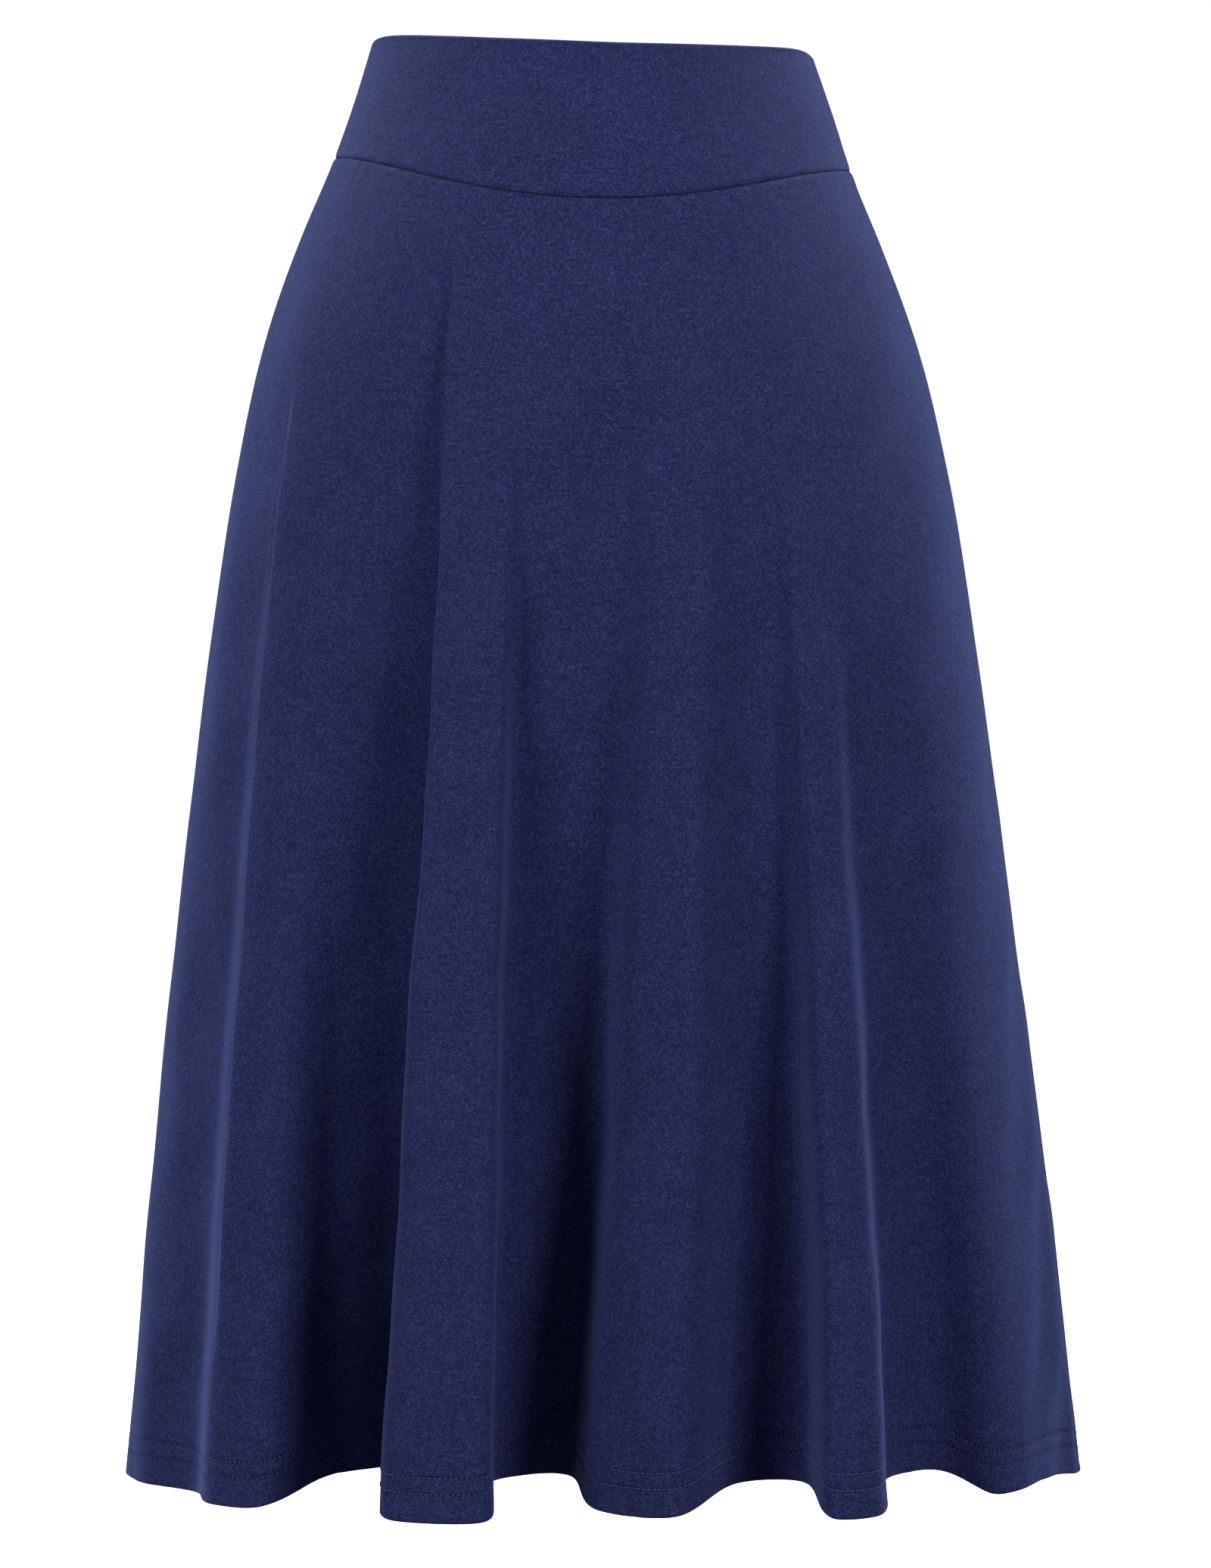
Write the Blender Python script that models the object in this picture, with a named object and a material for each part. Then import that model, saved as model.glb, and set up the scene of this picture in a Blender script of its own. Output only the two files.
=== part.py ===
"""A flared jersey skirt with a shaped yoke, in the hollow form that it has when worn.

Metres, +Z up, +X to the viewer's right, and the front of the skirt faces -Y. The origin is the
middle of the waist opening, where the wearer holds the skirt, and the hem hangs below it.

The cloth is two surfaces in one. Over the hips it follows an oval that a short table of sections
gives. Below them it goes over, little by little, to the wavy plan of the hem, which a second table
gives with a row for each fold. A point of the cloth is named by its turn round the oval, which is
0 at the left side, 0.25 at the front, 0.5 at the right side and 0.75 at the back, and by its drop
below the waist.
"""

import math

import bmesh
import bpy
import numpy as np

# Sizes of the cloth
SKIRT_CLOTH = 0.0015
YOKE_CLOTH = 0.0024
HEM_CLOTH = 0.0027
HEM_TURN = 0.024
HEM_STEP = 0.001
SEAM_GAP = 0.0003

# The cloth's length round is about the waist's, and grows by the flare with each metre of drop
WAIST_LENGTH = 0.64
FLARE = 2.0

# Lines across the cloth, as drops below the waist
YOKE_SIDE_DROP = 0.0578
YOKE_FRONT_DROP = 0.0778
YOKE_BACK_DROP = 0.0640
YOKE_SEAM_POWER = 3.0
WAIST_TILT = 0.0036
WAIST_CURVE = 0.0030
WAIST_CORNER = 0.0030
WAIST_CORNER_POWER = 24
HEM_DROP = 0.7257

# Turns round the oval where the two side seams lie
LEFT_SEAM = -0.004
RIGHT_SEAM = 0.489

# The oval that the skirt fills, with a row for each level
SECTION_COLUMNS = ("drop", "half_width", "front_depth", "back_depth", "centre_x")
SECTIONS = (
    (0.000, 0.1114, 0.0860, 0.0865, 0.0000),
    (0.030, 0.1213, 0.0935, 0.0960, 0.0005),
    (0.058, 0.1308, 0.1010, 0.1065, 0.0000),
    (0.097, 0.1470, 0.1095, 0.1190, -0.0004),
    (0.143, 0.1637, 0.1175, 0.1300, -0.0002),
    (0.215, 0.1809, 0.1265, 0.1390, 0.0002),
    (0.305, 0.1951, 0.1360, 0.1470, 0.0005),
    (0.450, 0.2135, 0.1490, 0.1580, 0.0017),
    (0.600, 0.2312, 0.1620, 0.1690, 0.0040),
    (0.726, 0.2440, 0.1730, 0.1780, 0.0055),
)

# The folds of the hem, going round from the left side by the front, each a crest and then a valley.
# Both run from a near edge to a far edge, and the places are in plan. The tops are the drops where
# each one starts.
FOLD_COLUMNS = (
    "near_x", "near_y", "far_x", "far_y", "dip_near_x", "dip_near_y", "dip_far_x", "dip_far_y",
    "crest_top", "valley_top", "valley_rise",
)
FOLDS = {
    "left_side": (-0.236, 0.022, -0.239, -0.007, -0.231, -0.029, -0.200, -0.062, 0.180, 0.110, 0.000),
    "left_front": (-0.191, -0.102, -0.172, -0.110, -0.127, -0.072, -0.092, -0.046, 0.130, 0.130, 0.011),
    "main_front": (-0.098, -0.151, -0.054, -0.158, -0.048, -0.085, -0.015, -0.067, 0.120, 0.115, 0.010),
    "centre_front": (0.001, -0.119, 0.040, -0.141, 0.074, -0.098, 0.103, -0.096, 0.200, 0.130, 0.011),
    "right_front": (0.120, -0.148, 0.141, -0.139, 0.151, -0.080, 0.178, -0.064, 0.220, 0.220, 0.011),
    "right_corner": (0.200, -0.068, 0.216, -0.054, 0.229, -0.034, 0.239, -0.016, 0.240, 0.240, 0.002),
    "right_side": (0.249, 0.000, 0.247, 0.028, 0.227, 0.046, 0.214, 0.056, 0.200, 0.230, 0.006),
    "right_rear": (0.212, 0.094, 0.188, 0.122, 0.156, 0.105, 0.138, 0.098, 0.230, 0.190, 0.009),
    "right_back": (0.130, 0.146, 0.095, 0.163, 0.079, 0.112, 0.056, 0.104, 0.180, 0.150, 0.010),
    "centre_back": (0.045, 0.166, 0.004, 0.175, -0.012, 0.118, -0.040, 0.106, 0.170, 0.150, 0.008),
    "left_back": (-0.048, 0.164, -0.086, 0.160, -0.101, 0.108, -0.123, 0.100, 0.130, 0.170, 0.010),
    "left_rear": (-0.138, 0.139, -0.170, 0.122, -0.178, 0.084, -0.196, 0.072, 0.180, 0.220, 0.009),
    "left_corner": (-0.212, 0.084, -0.227, 0.060, -0.229, 0.048, -0.232, 0.038, 0.240, 0.220, 0.002),
}

# Where the near and far edges of each crest and each valley hang from, in degrees round the oval
HANGS = {
    "left_side": (-4.8, 4.1, 11.0, 27.0),
    "left_front": (31.4, 36.5, 51.0, 65.3),
    "main_front": (67.2, 76.5, 80.5, 96.0),
    "centre_front": (100.5, 107.0, 114.5, 121.0),
    "right_front": (123.0, 126.0, 130.0, 140.5),
    "right_corner": (147.0, 152.0, 161.0, 168.5),
    "right_side": (175.5, 184.0, 191.0, 195.5),
    "right_rear": (204.0, 212.0, 218.5, 223.5),
    "right_back": (231.5, 238.5, 243.0, 252.0),
    "centre_back": (261.0, 267.0, 274.0, 284.5),
    "left_back": (287.0, 293.5, 301.0, 305.5),
    "left_rear": (312.0, 318.0, 324.5, 329.0),
    "left_corner": (333.5, 341.5, 345.5, 349.5),
}

# Sharp creases, each down one edge of a fold's crest: over the edge's width the cloth drops behind
# it by the depth, and it comes back over the reach. It shows most between its two drops.
CREASE_COLUMNS = ("fold", "side", "edge", "depth", "reach", "from_drop", "to_drop", "fade")
CREASES = (
    ("main_front", "near", 0.0045, 0.0045, 0.020, 0.168, 0.380, 0.060),
    ("left_front", "near", 0.0080, 0.0040, 0.016, 0.220, 0.560, 0.060),
    ("right_front", "far", 0.0045, 0.0040, 0.016, 0.420, 0.640, 0.120),
    ("left_back", "near", 0.0045, 0.0055, 0.018, 0.170, 0.420, 0.070),
    ("right_back", "far", 0.0045, 0.0040, 0.016, 0.300, 0.520, 0.120),
)

# How the folds grow from their tops to the hem
FOLD_EASE = 0.10
FOLD_SOFTNESS = 0.0040
CURVE_STEPS = 16
POINTS_A_FOLD = 4

# The folds' tops lean aside near one turn, by a part of a turn, and hang straight from a drop
LEAN = 0.0092
LEAN_TURN = 0.185
LEAN_REACH = 0.045
LEAN_FROM = 0.10
LEAN_TO = 0.28

# How finely the walls are divided
YOKE_COLUMNS = 36
YOKE_ROWS = 5
FRONT_COLUMNS = 76
BACK_COLUMNS = 68
SKIRT_ROWS = 14
ROW_CROWDING = 1.25
LAST_ROW = 0.93
PLAN_STEPS = 3000
CREASE_SAMPLE_DROP = 0.3
BEND_WEIGHT = 1.3
CREASE_WEIGHT = 0.12
NORMAL_STEP = 0.0015
SHARP_ANGLE = math.radians(50)

NAVY = (0.020, 0.026, 0.105, 1.0)
MATT = 0.85


def smooth_value(at, places, values):
    """A smooth curve through a table's values, read at the places asked for."""
    places, values = np.asarray(places), np.asarray(values)
    slopes = np.gradient(values, places)
    at = np.clip(at, places[0], places[-1])
    low = np.clip(np.searchsorted(places, at, side="right") - 1, 0, len(places) - 2)
    span = places[low + 1] - places[low]
    t = (at - places[low]) / span
    start, end = values[low], values[low + 1]
    rise, fall = slopes[low] * span, slopes[low + 1] * span
    return (
        start * (1 + 2 * t) * (1 - t) ** 2
        + rise * t * (1 - t) ** 2
        + end * t * t * (3 - 2 * t)
        + fall * t * t * (t - 1)
    )


def fade(at, start, end):
    """A soft step from 0 at start to 1 at end."""
    t = np.clip((at - start) / (end - start), 0.0, 1.0)
    return t * t * (3 - 2 * t)


def length_round(drop):
    """About how long the cloth is, all the way round, at a drop."""
    return WAIST_LENGTH + FLARE * drop


def section(drop):
    """The oval's half width, front depth, back depth and centre at a drop."""
    table = np.array(SECTIONS)
    return [smooth_value(drop, table[:, 0], table[:, k]) for k in range(1, len(SECTION_COLUMNS))]


def softened(line, total, softness):
    """A closed line of evenly spaced values, with its corners rounded off over softness."""
    along = np.linspace(0, total, len(line), endpoint=False)
    spread = np.minimum(along, total - along)
    kernel = np.exp(-0.5 * (spread / softness) ** 2)
    kernel = np.fft.fft(kernel / kernel.sum())
    return np.fft.ifft(np.fft.fft(line, axis=0) * kernel[:, None], axis=0).real


def hem_loop():
    """The hem's plan and what goes with it, for turns round the oval: x, y, fold top and rise.

    It also gives the turn of each crest's two edges.
    """
    rows, turns = [], []
    for name, fold in FOLDS.items():
        of = dict(zip(FOLD_COLUMNS, fold))
        rows.append((of["near_x"], of["near_y"], of["crest_top"], 0.0))
        rows.append((of["far_x"], of["far_y"], of["crest_top"], 0.0))
        rows.append((of["dip_near_x"], of["dip_near_y"], of["valley_top"], of["valley_rise"]))
        rows.append((of["dip_far_x"], of["dip_far_y"], of["valley_top"], of["valley_rise"]))
        turns += [degrees / 360.0 for degrees in HANGS[name]]
    points, turns = np.array(rows + rows[:1]), np.array(turns + [turns[0] + 1.0])
    chords = np.linalg.norm(np.diff(points[:, :2], axis=0), axis=1)
    knots = np.concatenate([[0.0], np.cumsum(chords)])
    total = knots[-1]
    padded = np.concatenate([knots[:-1] - total, knots, knots[1:] + total])
    tripled = np.concatenate([points[:-1], points, points[1:]])
    even = np.linspace(0, total, (len(knots) - 1) * CURVE_STEPS, endpoint=False)
    line = [smooth_value(even, padded, tripled[:, k]) for k in range(points.shape[1])]
    line.append(np.interp(even, knots, turns) - even / total)
    soft = softened(np.stack(line, axis=1), total, FOLD_SOFTNESS)
    edges = dict(zip(FOLDS, zip(turns[::POINTS_A_FOLD], turns[1::POINTS_A_FOLD])))
    return soft[:, -1] + even / total, soft[:, :-1], edges


HEM_TURNS, HEM_LOOP, CREST_EDGES = hem_loop()


def hem_value(turn, column):
    """The hem's x, y, fold top or rise at a turn."""
    return np.interp(turn, HEM_TURNS, HEM_LOOP[:, column], period=1.0)


def leaned(turn, drop):
    """The turn of the hem's folds that a point belongs to, where their tops lean aside."""
    near = np.exp(-(((turn - LEAN_TURN) / LEAN_REACH) ** 2))
    return turn + LEAN * near * (1.0 - fade(drop, LEAN_FROM, LEAN_TO))


def crease_depth(turn, drop):
    """How far the sharp creases sink the cloth, in metres."""
    sunk = np.zeros(np.broadcast(turn, drop).shape)
    for crease in CREASES:
        of = dict(zip(CREASE_COLUMNS, crease))
        near, far = CREST_EDGES[of["fold"]]
        line, behind = (near, -1.0) if of["side"] == "near" else (far, 1.0)
        away = (turn - line + 0.5) % 1.0 - 0.5
        away = away * behind * length_round(drop)
        shape = fade(away, 0.0, of["edge"]) * np.exp(-np.maximum(away, 0.0) / of["reach"])
        strength = fade(drop, of["from_drop"] - of["fade"], of["from_drop"])
        strength = strength * (1.0 - fade(drop, of["to_drop"], of["to_drop"] + 2 * of["fade"]))
        sunk = sunk + of["depth"] * shape * strength
    return sunk


def cloth(turn, drop):
    """Points of the cloth's outer face, for arrays of turns round and drops below the waist."""
    half_width, front_depth, back_depth, centre_x = section(drop)
    hem_width, hem_front, hem_back, hem_centre = section(HEM_DROP)
    angle = 2 * math.pi * turn
    across, along = np.cos(angle), np.sin(angle)
    depth = np.where(along > 0, front_depth, back_depth)
    oval_x = centre_x - half_width * across
    oval_y = -depth * along
    hung = leaned(turn, drop)
    hem_x, hem_y, top = (hem_value(hung, column) for column in (0, 1, 2))
    fold_x = centre_x + (hem_x - hem_centre) * half_width / hem_width
    fold_y = hem_y * np.where(hem_y < 0, front_depth / hem_front, back_depth / hem_back)
    grown = np.clip((drop - top) / (HEM_DROP - top), 0.0, 1.0)
    grown = grown * grown / (grown + FOLD_EASE) * (1.0 + FOLD_EASE)
    sunk = 1.0 - crease_depth(hung, drop) / np.hypot(oval_x, oval_y)
    x = (oval_x + (fold_x - oval_x) * grown) * sunk
    y = (oval_y + (fold_y - oval_y) * grown) * sunk
    return np.stack([x, y, -drop], axis=-1)


def outward(turn, drop):
    """The cloth's outward directions at those points."""
    aside = NORMAL_STEP / length_round(drop)
    round_it = cloth(turn + aside, drop) - cloth(turn - aside, drop)
    down_it = cloth(turn, drop + NORMAL_STEP) - cloth(turn, drop - NORMAL_STEP)
    normal = np.cross(down_it, round_it)
    return normal / np.linalg.norm(normal, axis=-1, keepdims=True)


def tilt(turn, drop):
    """How far the worn skirt dips on its right at a drop, which dies out at the hem."""
    return -np.cos(2 * math.pi * turn) * WAIST_TILT * (1.0 - drop / HEM_DROP)


def waist_edge(turn):
    """The drop of the folded edge at the waist: highest by the sides, and rounded over at them."""
    across = np.abs(np.cos(2 * math.pi * turn))
    return WAIST_CORNER * across ** WAIST_CORNER_POWER - WAIST_CURVE * across ** 2


def yoke_seam(turn):
    """The drop of the seam between yoke and skirt, lowest at the middle of the front."""
    along = np.sin(2 * math.pi * turn)
    middle = np.where(along > 0, YOKE_FRONT_DROP, YOKE_BACK_DROP)
    return YOKE_SIDE_DROP + (middle - YOKE_SIDE_DROP) * np.abs(along) ** YOKE_SEAM_POWER


def wall_points(turn, drop, thickness):
    """Points on the cloth at a depth of thickness below its outer face, with the worn tilt."""
    points = cloth(turn, drop) - outward(turn, drop) * thickness[..., None]
    points[..., 2] -= tilt(turn, drop)
    return points


def cloth_wall(name, columns, rows, place):
    """A closed wall: a grid for the outer face and one for the inner face, bridged round the edge."""
    form = bmesh.new()
    for inner in (False, True):
        grid = bmesh.ops.create_grid(form, x_segments=columns, y_segments=rows, size=0.5)["verts"]
        where = np.array([vert.co for vert in grid])
        column = np.rint((where[:, 0] + 0.5) * columns).astype(int)
        row = np.rint((0.5 - where[:, 1]) * rows).astype(int)
        for vert, point in zip(grid, place(column, row, inner)):
            vert.co = point
    rim = [edge for edge in form.edges if edge.is_boundary]
    bmesh.ops.bridge_loops(form, edges=rim)
    bmesh.ops.recalc_face_normals(form, faces=form.faces)
    mesh = bpy.data.meshes.new(name)
    form.to_mesh(mesh)
    form.free()
    mesh.shade_smooth()
    mesh.set_sharp_from_angle(angle=SHARP_ANGLE)
    return bpy.data.objects.new(name, mesh)


def between_seams(part, drop, back):
    """The turn at a part of the way across a panel, half a seam's gap inside its side seams."""
    start, end = (RIGHT_SEAM, LEFT_SEAM + 1.0) if back else (LEFT_SEAM, RIGHT_SEAM)
    inset = SEAM_GAP / 2 / length_round(drop)
    return np.clip(start + (end - start) * part, start + inset, end - inset)


def yoke(name, back):
    """Half of the yoke: doubled cloth from the waist's folded edge to the seam with the skirt."""
    parts = np.linspace(0, 1, YOKE_COLUMNS + 1)
    falls = np.linspace(0, 1, YOKE_ROWS + 1)

    def place(column, row, inner):
        turn = between_seams(parts[column], YOKE_SIDE_DROP / 2, back)
        edge = waist_edge(turn)
        drop = edge + falls[row] * (yoke_seam(turn) - SEAM_GAP - edge)
        return wall_points(turn, drop, np.full(len(column), YOKE_CLOTH * inner))

    return cloth_wall(name, YOKE_COLUMNS, YOKE_ROWS, place)


def panel_parts(columns, back):
    """Parts of the way across a panel for its columns, closer where the hem bends or a crease runs."""
    fine = np.linspace(0, 1, PLAN_STEPS + 1)
    turn = between_seams(fine, HEM_DROP, back)
    plan = np.stack([hem_value(turn, 0), hem_value(turn, 1)], axis=1)
    step = np.diff(plan, axis=0)
    length = np.linalg.norm(step, axis=1)
    heading = np.unwrap(np.arctan2(step[:, 1], step[:, 0]))
    bend = np.abs(np.gradient(heading))
    middle = (turn[1:] + turn[:-1]) / 2
    creased = crease_depth(middle, np.full(len(middle), CREASE_SAMPLE_DROP))
    slope = np.abs(np.gradient(creased))
    effort = length / length.sum() + BEND_WEIGHT * bend / bend.sum() + CREASE_WEIGHT * slope / slope.sum()
    so_far = np.concatenate([[0.0], np.cumsum(effort)])
    return np.interp(np.linspace(0, so_far[-1], columns + 1), so_far, fine)


def skirt_panel(name, columns, back):
    """Half of the skirt: single cloth from the yoke seam, doubled where the hem is turned up inside."""
    parts = panel_parts(columns, back)
    length = HEM_DROP - YOKE_SIDE_DROP
    turn_up = 1.0 - HEM_TURN / length
    rows = LAST_ROW * np.linspace(0, 1, SKIRT_ROWS + 1) ** ROW_CROWDING
    falls = np.append(rows, (turn_up - HEM_STEP / length, turn_up, 1.0))

    def place(column, row, inner):
        turn = between_seams(parts[column], HEM_DROP, back)
        top = yoke_seam(turn)
        low = HEM_DROP - hem_value(turn, 3)
        drop = top + (low - top) * falls[row]
        turn = between_seams(parts[column], drop, back)
        thickness = np.where(falls[row] >= turn_up, HEM_CLOTH, SKIRT_CLOTH) * inner
        return wall_points(turn, drop, thickness)

    return cloth_wall(name, columns, len(falls) - 1, place)


def jersey(name):
    """Navy cotton jersey for one piece: matt, with no metal in it."""
    material = bpy.data.materials.new(name + "_jersey")
    material.use_nodes = True
    shader = material.node_tree.nodes["Principled BSDF"]
    shader.inputs["Base Color"].default_value = NAVY
    shader.inputs["Roughness"].default_value = MATT
    shader.inputs["Metallic"].default_value = 0.0
    return material


def main():
    for old in list(bpy.data.objects):
        bpy.data.objects.remove(old)
    collection = bpy.data.collections.new("flared_skirt")
    bpy.context.scene.collection.children.link(collection)
    pieces = (
        yoke("yoke_front", back=False),
        yoke("yoke_back", back=True),
        skirt_panel("skirt_front", FRONT_COLUMNS, back=False),
        skirt_panel("skirt_back", BACK_COLUMNS, back=True),
    )
    for piece in pieces:
        piece.data.materials.append(jersey(piece.name))
        collection.objects.link(piece)


main()
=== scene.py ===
"""The looks of a flared jersey skirt with a shaped yoke, in the hollow form that it has when worn.

It is laid out as a Blender add-on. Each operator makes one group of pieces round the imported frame,
in metres, with +Z up and the front of the skirt facing -Y. A point of the cloth is named by its
turn, which is 0 at the left side, 0.25 at the front, 0.5 at the right side and 0.75 at the back,
and by its drop below the waist.
"""

import math

import bpy
import numpy as np
from bpy.props import FloatProperty, FloatVectorProperty, PointerProperty
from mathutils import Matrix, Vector


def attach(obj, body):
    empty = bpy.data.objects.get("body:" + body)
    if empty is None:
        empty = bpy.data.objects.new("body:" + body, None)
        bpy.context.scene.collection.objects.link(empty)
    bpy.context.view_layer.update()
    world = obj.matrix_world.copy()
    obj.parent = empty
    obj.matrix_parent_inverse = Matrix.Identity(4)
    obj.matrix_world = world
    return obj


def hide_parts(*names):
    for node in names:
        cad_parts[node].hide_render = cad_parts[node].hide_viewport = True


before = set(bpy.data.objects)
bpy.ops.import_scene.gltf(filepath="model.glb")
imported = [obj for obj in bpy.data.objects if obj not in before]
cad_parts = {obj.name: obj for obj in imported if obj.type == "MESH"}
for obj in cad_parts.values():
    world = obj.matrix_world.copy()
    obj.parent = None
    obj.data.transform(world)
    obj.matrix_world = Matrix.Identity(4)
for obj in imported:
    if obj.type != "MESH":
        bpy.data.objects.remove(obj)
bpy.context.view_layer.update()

bl_info = {
    "name": "Flared jersey skirt",
    "version": (1, 0, 0),
    "blender": (4, 5, 0),
    "location": "3D View > Sidebar > Skirt",
    "description": "Makes the jersey, seams, stitching and studio of a flared skirt",
    "category": "Object",
}

# Lines across the cloth, as drops below the waist
YOKE_SIDE_DROP = 0.0578
YOKE_FRONT_DROP = 0.0778
YOKE_BACK_DROP = 0.0640
YOKE_SEAM_POWER = 3.0
WAIST_TILT = 0.0036
WAIST_CURVE = 0.0030
WAIST_CORNER = 0.0030
WAIST_CORNER_POWER = 24
HEM_DROP = 0.7257
SEAM_GAP = 0.00004
LEFT_SEAM = -0.004
RIGHT_SEAM = 0.489

# The cloth's length round is about the waist's, and grows by the flare with each metre of drop
WAIST_LENGTH = 0.64
FLARE = 2.0

# The oval that the skirt fills: drop, half width, front depth, back depth and centre across
SECTIONS = (
    (0.000, 0.1114, 0.0860, 0.0865, 0.0000),
    (0.030, 0.1213, 0.0935, 0.0960, 0.0005),
    (0.058, 0.1308, 0.1010, 0.1065, 0.0000),
    (0.097, 0.1470, 0.1095, 0.1190, -0.0004),
    (0.143, 0.1637, 0.1175, 0.1300, -0.0002),
    (0.215, 0.1809, 0.1265, 0.1390, 0.0002),
    (0.305, 0.1951, 0.1360, 0.1470, 0.0005),
    (0.450, 0.2135, 0.1490, 0.1580, 0.0017),
    (0.600, 0.2312, 0.1620, 0.1690, 0.0040),
    (0.726, 0.2440, 0.1730, 0.1780, 0.0055),
)

# The folds of the hem, each a crest and then a valley from a near to a far edge, in plan. Then come
# the drops where crest and valley start, and the valley's rise.
FOLDS = {
    "left_side": (-0.236, 0.022, -0.239, -0.007, -0.231, -0.029, -0.200, -0.062, 0.180, 0.110, 0.000),
    "left_front": (-0.191, -0.099, -0.169, -0.112, -0.127, -0.072, -0.092, -0.046, 0.130, 0.130, 0.011),
    "main_front": (-0.098, -0.151, -0.054, -0.158, -0.048, -0.085, -0.015, -0.067, 0.120, 0.115, 0.010),
    "centre_front": (0.001, -0.119, 0.040, -0.141, 0.075, -0.098, 0.102, -0.094, 0.200, 0.130, 0.011),
    "right_front": (0.120, -0.148, 0.141, -0.139, 0.151, -0.080, 0.178, -0.064, 0.290, 0.250, 0.011),
    "right_corner": (0.200, -0.068, 0.216, -0.054, 0.229, -0.034, 0.239, -0.016, 0.240, 0.240, 0.002),
    "right_side": (0.249, 0.000, 0.247, 0.028, 0.227, 0.046, 0.214, 0.056, 0.200, 0.230, 0.006),
    "right_rear": (0.212, 0.094, 0.188, 0.122, 0.156, 0.105, 0.138, 0.098, 0.230, 0.190, 0.009),
    "right_back": (0.130, 0.146, 0.095, 0.163, 0.079, 0.112, 0.056, 0.104, 0.180, 0.150, 0.010),
    "centre_back": (0.045, 0.166, 0.004, 0.175, -0.012, 0.118, -0.040, 0.106, 0.170, 0.150, 0.008),
    "left_back": (-0.048, 0.164, -0.086, 0.160, -0.101, 0.108, -0.123, 0.100, 0.130, 0.170, 0.010),
    "left_rear": (-0.138, 0.139, -0.170, 0.122, -0.178, 0.084, -0.196, 0.072, 0.180, 0.220, 0.009),
    "left_corner": (-0.212, 0.084, -0.227, 0.060, -0.229, 0.048, -0.232, 0.038, 0.240, 0.220, 0.002),
}

# Where those four places of each fold hang from, in degrees round the oval
HANGS = {
    "left_side": (-4.8, 4.1, 11.0, 27.0),
    "left_front": (31.4, 36.5, 51.0, 65.3),
    "main_front": (67.2, 76.5, 80.5, 96.0),
    "centre_front": (100.5, 107.0, 113.0, 119.0),
    "right_front": (123.0, 126.0, 130.0, 140.5),
    "right_corner": (147.0, 152.0, 161.0, 168.5),
    "right_side": (175.5, 184.0, 191.0, 195.5),
    "right_rear": (204.0, 212.0, 218.5, 223.5),
    "right_back": (231.5, 238.5, 243.0, 252.0),
    "centre_back": (261.0, 267.0, 274.0, 284.5),
    "left_back": (287.0, 293.5, 301.0, 305.5),
    "left_rear": (312.0, 318.0, 324.5, 329.0),
    "left_corner": (333.5, 341.5, 345.5, 349.5),
}

# How gently a fold begins below its top, how far its corners are rounded off in plan, and how many
# steps its curve has from one of its four places to the next
FOLD_EASE = 0.10
FOLD_SOFTNESS = 0.0040
CURVE_STEPS = 16
POINTS_A_FOLD = 4

# The folds' tops lean aside near one turn, by a part of a turn, and hang straight from a drop
LEAN = 0.0092
LEAN_TURN = 0.185
LEAN_REACH = 0.045
LEAN_FROM = 0.10
LEAN_TO = 0.28

# Sharp creases down one edge of a crest: fold, side, width of the edge, depth, reach, first and
# last drop, and fade
CREASES = (
    ("main_front", "near", 0.0024, 0.0045, 0.020, 0.146, 0.380, 0.048),
    ("left_front", "near", 0.0060, 0.0040, 0.016, 0.220, 0.560, 0.060),
    ("left_back", "near", 0.0024, 0.0055, 0.018, 0.170, 0.420, 0.070),
    ("right_back", "far", 0.0024, 0.0040, 0.016, 0.300, 0.520, 0.120),
)

# A crease's edge is this many times as wide on the cloth's inner face
INNER_SPREAD = 1.9

# How finely the cloth and its seams are divided
YOKE_COLUMNS = 150
FRONT_COLUMNS = 330
BACK_COLUMNS = 300
YOKE_ALLOWANCE_COLUMNS = 120
SIDE_ALLOWANCE_COLUMNS = 160
HEM_LINE_STEPS = 4000
SEAM_LINE_STEPS = 2000
PLAN_STEPS = 6000
NORMAL_STEP = 0.0010

# How strongly bends, creases and side seams draw the columns of a panel together
BEND_WEIGHT = 0.9
CREASE_WEIGHT = 0.22
CREASE_SAMPLE_DROP = 0.3
SEAM_WEIGHT = 0.05
SEAM_CROWD = 0.004
YOKE_CROWD_POWER = 1.25

# Each panel's flat cut is part of a ring, whose inner edge is sewn to the yoke
CUT_RADIUS = 0.3555
CUT_ANGLE = math.radians(58.7)
YOKE_LENGTH = 0.37

# Where the other pieces lie on the cloth's pattern, so that none repeats another's melange
INNER_FACE_SHIFT = 0.31
YOKE_SHIFT = 0.8
ALLOWANCE_SHIFT = 1.9
SIDE_ALLOWANCE_SHIFT = 2.0
SIDE_ALLOWANCE_SPREAD = 1.5

# How far the cloth's small forms reach: the rolls at the seams, the rows at the hem, the puckers
# and the broad waves, and how much shade is painted into the cloth's colour at the seams and stitch rows
SEAM_ROLL = 0.0013
SEAM_ROLL_RIPPLE = 0.35
SIDE_ROLL = 0.0016
STITCH_ROW = 0.0008
STITCH_ROW_SINK = 0.00032
HEM_PUCKER_REACH = 0.028
SEAM_PUCKER = 0.00015
SEAM_PUCKER_REACH = 0.012
SOFT_FROM_YOKE = 0.08
SOFT_FROM_SIDE = 0.03
SEAM_SHADOW = 0.0006
SIDE_SHADE = 0.5
STITCH_ROW_SHADE = 0.55
SHARP_EDGE = math.radians(70)

# The hem's puckers come in patches, whose waves have this part of the puckers' own pace. A patch
# begins at one value of its waves and is full at the other
PATCH_PACE = 0.11
PATCH_FROM = -0.4
PATCH_TO = 1.2

# The knit, from one wale and one course to the next, and the melange: how many of its fibres, rows
# and clouds there are in a metre across and down, and how strongly they show
WALE = 0.0009
COURSE = 0.0007
FIBRE_SCALE = (1150.0, 1400.0, 1.0)
ROW_SCALE = (110.0, 720.0, 1.0)
CLOUD_SCALE = (22.0, 26.0, 1.0)
ROW_CONTRAST = 0.7
CLOUD_CONTRAST = 0.30
FLECK_LEVEL = 0.30
# How far the shade painted at the seams and stitch rows darkens the jersey's colour
GROOVE_SHADE = 0.80

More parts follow.
